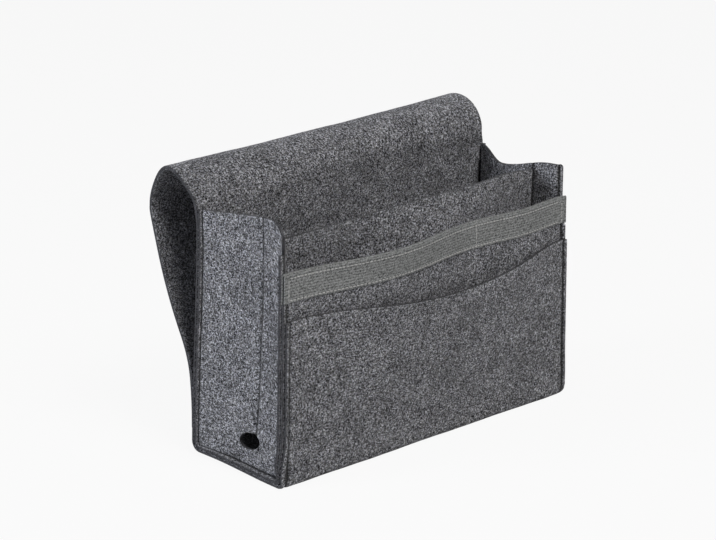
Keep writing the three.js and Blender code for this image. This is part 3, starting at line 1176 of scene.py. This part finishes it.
def makeDivider():
    low = divider["bottom"]
    half = dividerEnd + divider["turnRadius"] * math.pi / 2 + divider["tail"]
    turn = dividerEnd - divider["fineMargin"]
    fine, fineTop = felt["fineCell"], divider["fineTop"]
    sMarks = ladder((-half, -turn, fine), (-turn, turn, felt["cell"]), (turn, half, fine))
    shares = ladder((0, fineTop, divider["rowStep"]), (fineTop, 1, divider["topRowStep"]))

    def point(s, share):
        return dividerPoint(s, mix(low, dividerTop(s), share))

    bm = sheetGrid(sMarks, shares, point, 4)
    flatPlace = bm.verts.layers.float_vector["flatPlace"]
    for vert in bm.verts:
        vert[flatPlace].y = vert.co.z
    wavePoints(bm, 4, everywhere)
    piece = feltPiece("dividerPanel", bm)
    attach(piece, "bag")
    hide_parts("divider_panel")


makeDivider()
print("divider made")

# Sewing thread: short stitches, half sunk in the cloth
stitch = {
    "pitch": 3.4,
    "length": 2.8,
    "width": 1.1,
    "height": 0.7,
    "probe": 0.4,
    "feltProud": 0.15,          # middle of the thread over the face of the pressed felt
    "ribbonProud": 0.05,
}
feltRows = {                    # where the rows in the felt begin and end, short of its edges
    "pocketTop": 2,
    "backTop": 18,
    "wallFoot": 2,
    "wallTop": 1,
    "splitBelow": 14,           # the parting row begins behind the pocket
    "crease": (33, 186),
    "sideFoot": 24,
    "sideFrontTop": 32,
    "sideBackTop": 18,
    "sideBase": 16,
}
ribbonRows = {
    "ends": 7,
    "low": 1.8,
    "high": 2.5,
    "endRow": 2,                # the rows across its ends lie this far outside the others
    "endInset": 1,
}


def stitchShape():
    bm = bmesh.new()
    size = Matrix.Diagonal((stitch["length"] / 2, stitch["width"] / 2, stitch["height"] / 2, 1))
    turn = Matrix.Rotation(math.pi / 2, 4, "Y")
    bmesh.ops.create_uvsphere(bm, u_segments=6, v_segments=5, radius=mm, matrix=size @ turn)
    mesh = bpy.data.meshes.new("stitchShape")
    bm.to_mesh(mesh)
    bm.free()
    return mesh


def stitchRow(bm, shape, path, begin, finish, lift, facing):
    # path gives a middle point of the cloth and its normal; facing tells which face shows
    count = int((finish - begin) / stitch["pitch"])
    for index in range(count):
        travel = begin + (index + 0.5) * stitch["pitch"]
        place, normal = path(travel)
        outward = normal if normal.dot(Vector(facing)) > 0 else -normal
        along = (path(travel + stitch["probe"])[0] - place).normalized()
        across = outward.cross(along).normalized()
        turn = Matrix((along, across, along.cross(across))).transposed().to_4x4()
        copy = shape.copy()
        copy.transform(Matrix.Translation((place + outward * lift) * mm) @ turn)
        bm.from_mesh(copy)
        bpy.data.meshes.remove(copy)


def rowPath(point, place):
    # place(travel) gives the flat coordinates of the row
    def path(travel):
        s, t = place(travel)
        step = stitch["probe"]
        across = point(s + step, t) - point(s - step, t)
        up = point(s, t + step) - point(s, t - step)
        return point(s, t), across.cross(up).normalized()
    return path


def upwards(point, s):
    return rowPath(point, lambda travel: (s, travel))


def sideways(point, t):
    return rowPath(point, lambda travel: (travel, t))


ahead, behind, above, below = (0, -1, 0), (0, 1, 0), (0, 0, 1), (0, 0, -1)


def rowsInFelt():
    # each row is (path, from, to, lift, the way its face looks)
    lift = halfFelt * seam["pressed"] + stitch["feltProud"]
    row = halfWidth - seam["rowFromEdge"] / seamScale
    inset = seam["rowFromEdge"]
    rows = []
    for s in (-row, row):
        wallLow = pocketTop(s) + feltRows["wallFoot"]
        wallHigh = wallTop(s) - ribbon["height"] - feltRows["wallTop"]
        rows += [
            (upwards(wrapPoint, s), feltRows["pocketTop"], pocketEnd, lift, ahead),
            (upwards(wrapPoint, s), foldEnd, baseEnd, lift, below),
            (upwards(wrapPoint, s), backStart, backEnd - feltRows["backTop"], lift, behind),
            (upwards(wallPoint, s), wallLow, wallHigh, lift, ahead),
        ]
    split = front["split"]
    splitLow = pocketTop(split) - feltRows["splitBelow"]
    rows.append((upwards(wallPoint, split), splitLow, wallTop(split) - ribbon["height"], halfFelt, ahead))
    foot, base = feltRows["sideFoot"], feltRows["sideBase"]
    frontTop = sideFlatHeight - feltRows["sideFrontTop"]
    backTop = sideFlatHeight - feltRows["sideBackTop"]
    for hand, outward in (("left", (-1, 0, 0)), ("right", (1, 0, 0))):
        point = sidePoint(hand)
        crease = rowPath(point, lambda z: flatOfSide(creaseLine(z), z))
        rows += [
            (crease, *feltRows["crease"], lift, outward),
            (upwards(point, inset), foot, frontTop, lift, behind),
            (upwards(point, sideFlatDepth - inset), foot, backTop, lift, ahead),
            (sideways(point, inset), base, sideFlatDepth - base, lift, above),
        ]
    return rows


def rowsInRibbon():
    lift = ribbon["thickness"] / 2 + stitch["ribbonProud"]
    row = halfWidth - ribbonRows["ends"]
    endRow, endInset = row + ribbonRows["endRow"], ribbonRows["endInset"]
    rows = []
    for level in (ribbonRows["low"], ribbon["height"] - ribbonRows["high"]):
        rows.append((sideways(ribbonPoint, level), -row, row, lift, ahead))
        rows.append((sideways(ribbonPoint, ribbonTotal - level), -row, row, lift, behind))
    rows.append((upwards(ribbonPoint, front["split"]), 0, ribbon["height"], lift, ahead))
    for s in (-endRow, endRow):
        rows.append((upwards(ribbonPoint, s), endInset, ribbon["height"] - endInset, lift, ahead))
    return rows


def sewRows(name, rows, thread):
    bm = bmesh.new()
    shape = stitchShape()
    for row in rows:
        stitchRow(bm, shape, *row)
    bpy.data.meshes.remove(shape)
    piece = newObject(name, bm, thread)
    piece.data.shade_smooth()
    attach(piece, "bag")


sewRows("feltThread", rowsInFelt(), feltThread)
sewRows("ribbonThread", rowsInRibbon(), ribbonThread)
print("thread made")

# Floor and soft light
studio = {
    "floorSize": 14.0,
    "floor": (0.60, 0.60, 0.60),
    "floorWhite": 0.92,         # share of plain white that the camera sees in the floor
    "world": 0.08,
    "aim": (0, 0, 0.1),
    "leftFrom": (-2.3, 0.8, 1.0),
    "leftPower": 40,
    "leftSize": 1.2,
    "leftColour": (0.92, 0.95, 1.0),
    "frontFrom": (-0.3, -1.85, 2.4),
    "frontPower": 55,
    "frontSize": 1.4,
    "frontColour": (1.0, 0.985, 0.955),
}


def addFloor():
    bm = bmesh.new()
    bmesh.ops.create_grid(bm, x_segments=1, y_segments=1, size=studio["floorSize"] / 2)
    material = bpy.data.materials.new("paleFloor")
    nodes, links, shader = shaderOf(material)
    shader.inputs["Base Color"].default_value = (*studio["floor"], 1)
    shader.inputs["Roughness"].default_value = 0.9
    white = nodes.new("ShaderNodeEmission")
    seen = nodes.new("ShaderNodeMixShader")
    rays = nodes.new("ShaderNodeLightPath")
    share = mathOf(nodes, links, "MULTIPLY", rays.outputs["Is Camera Ray"], studio["floorWhite"])
    links.new(share, seen.inputs["Fac"])
    links.new(shader.outputs["BSDF"], seen.inputs[1])
    links.new(white.outputs["Emission"], seen.inputs[2])
    links.new(seen.outputs["Shader"], nodes["Material Output"].inputs["Surface"])
    newObject("floor", bm, material)


def addLamp(name, place, power, size, colour):
    data = bpy.data.lights.new(name, "AREA")
    data.energy = power
    data.color = colour
    data.shape = "DISK"
    data.size = size
    lamp = bpy.data.objects.new(name, data)
    lamp.location = place
    aim = Vector(studio["aim"]) - Vector(place)
    lamp.rotation_euler = aim.to_track_quat("-Z", "Y").to_euler()
    bpy.context.collection.objects.link(lamp)


def addWorld():
    world = bpy.data.worlds.new("studio")
    world.use_nodes = True
    background = world.node_tree.nodes["Background"]
    background.inputs["Color"].default_value = (1, 1, 1, 1)
    background.inputs["Strength"].default_value = studio["world"]
    bpy.context.scene.world = world


addFloor()
for lamp in ("left", "front"):
    look = [studio[lamp + part] for part in ("From", "Power", "Size", "Colour")]
    addLamp(lamp + "Lamp", *look)
addWorld()
bpy.context.scene.view_settings.view_transform = "Standard"
print("studio made")
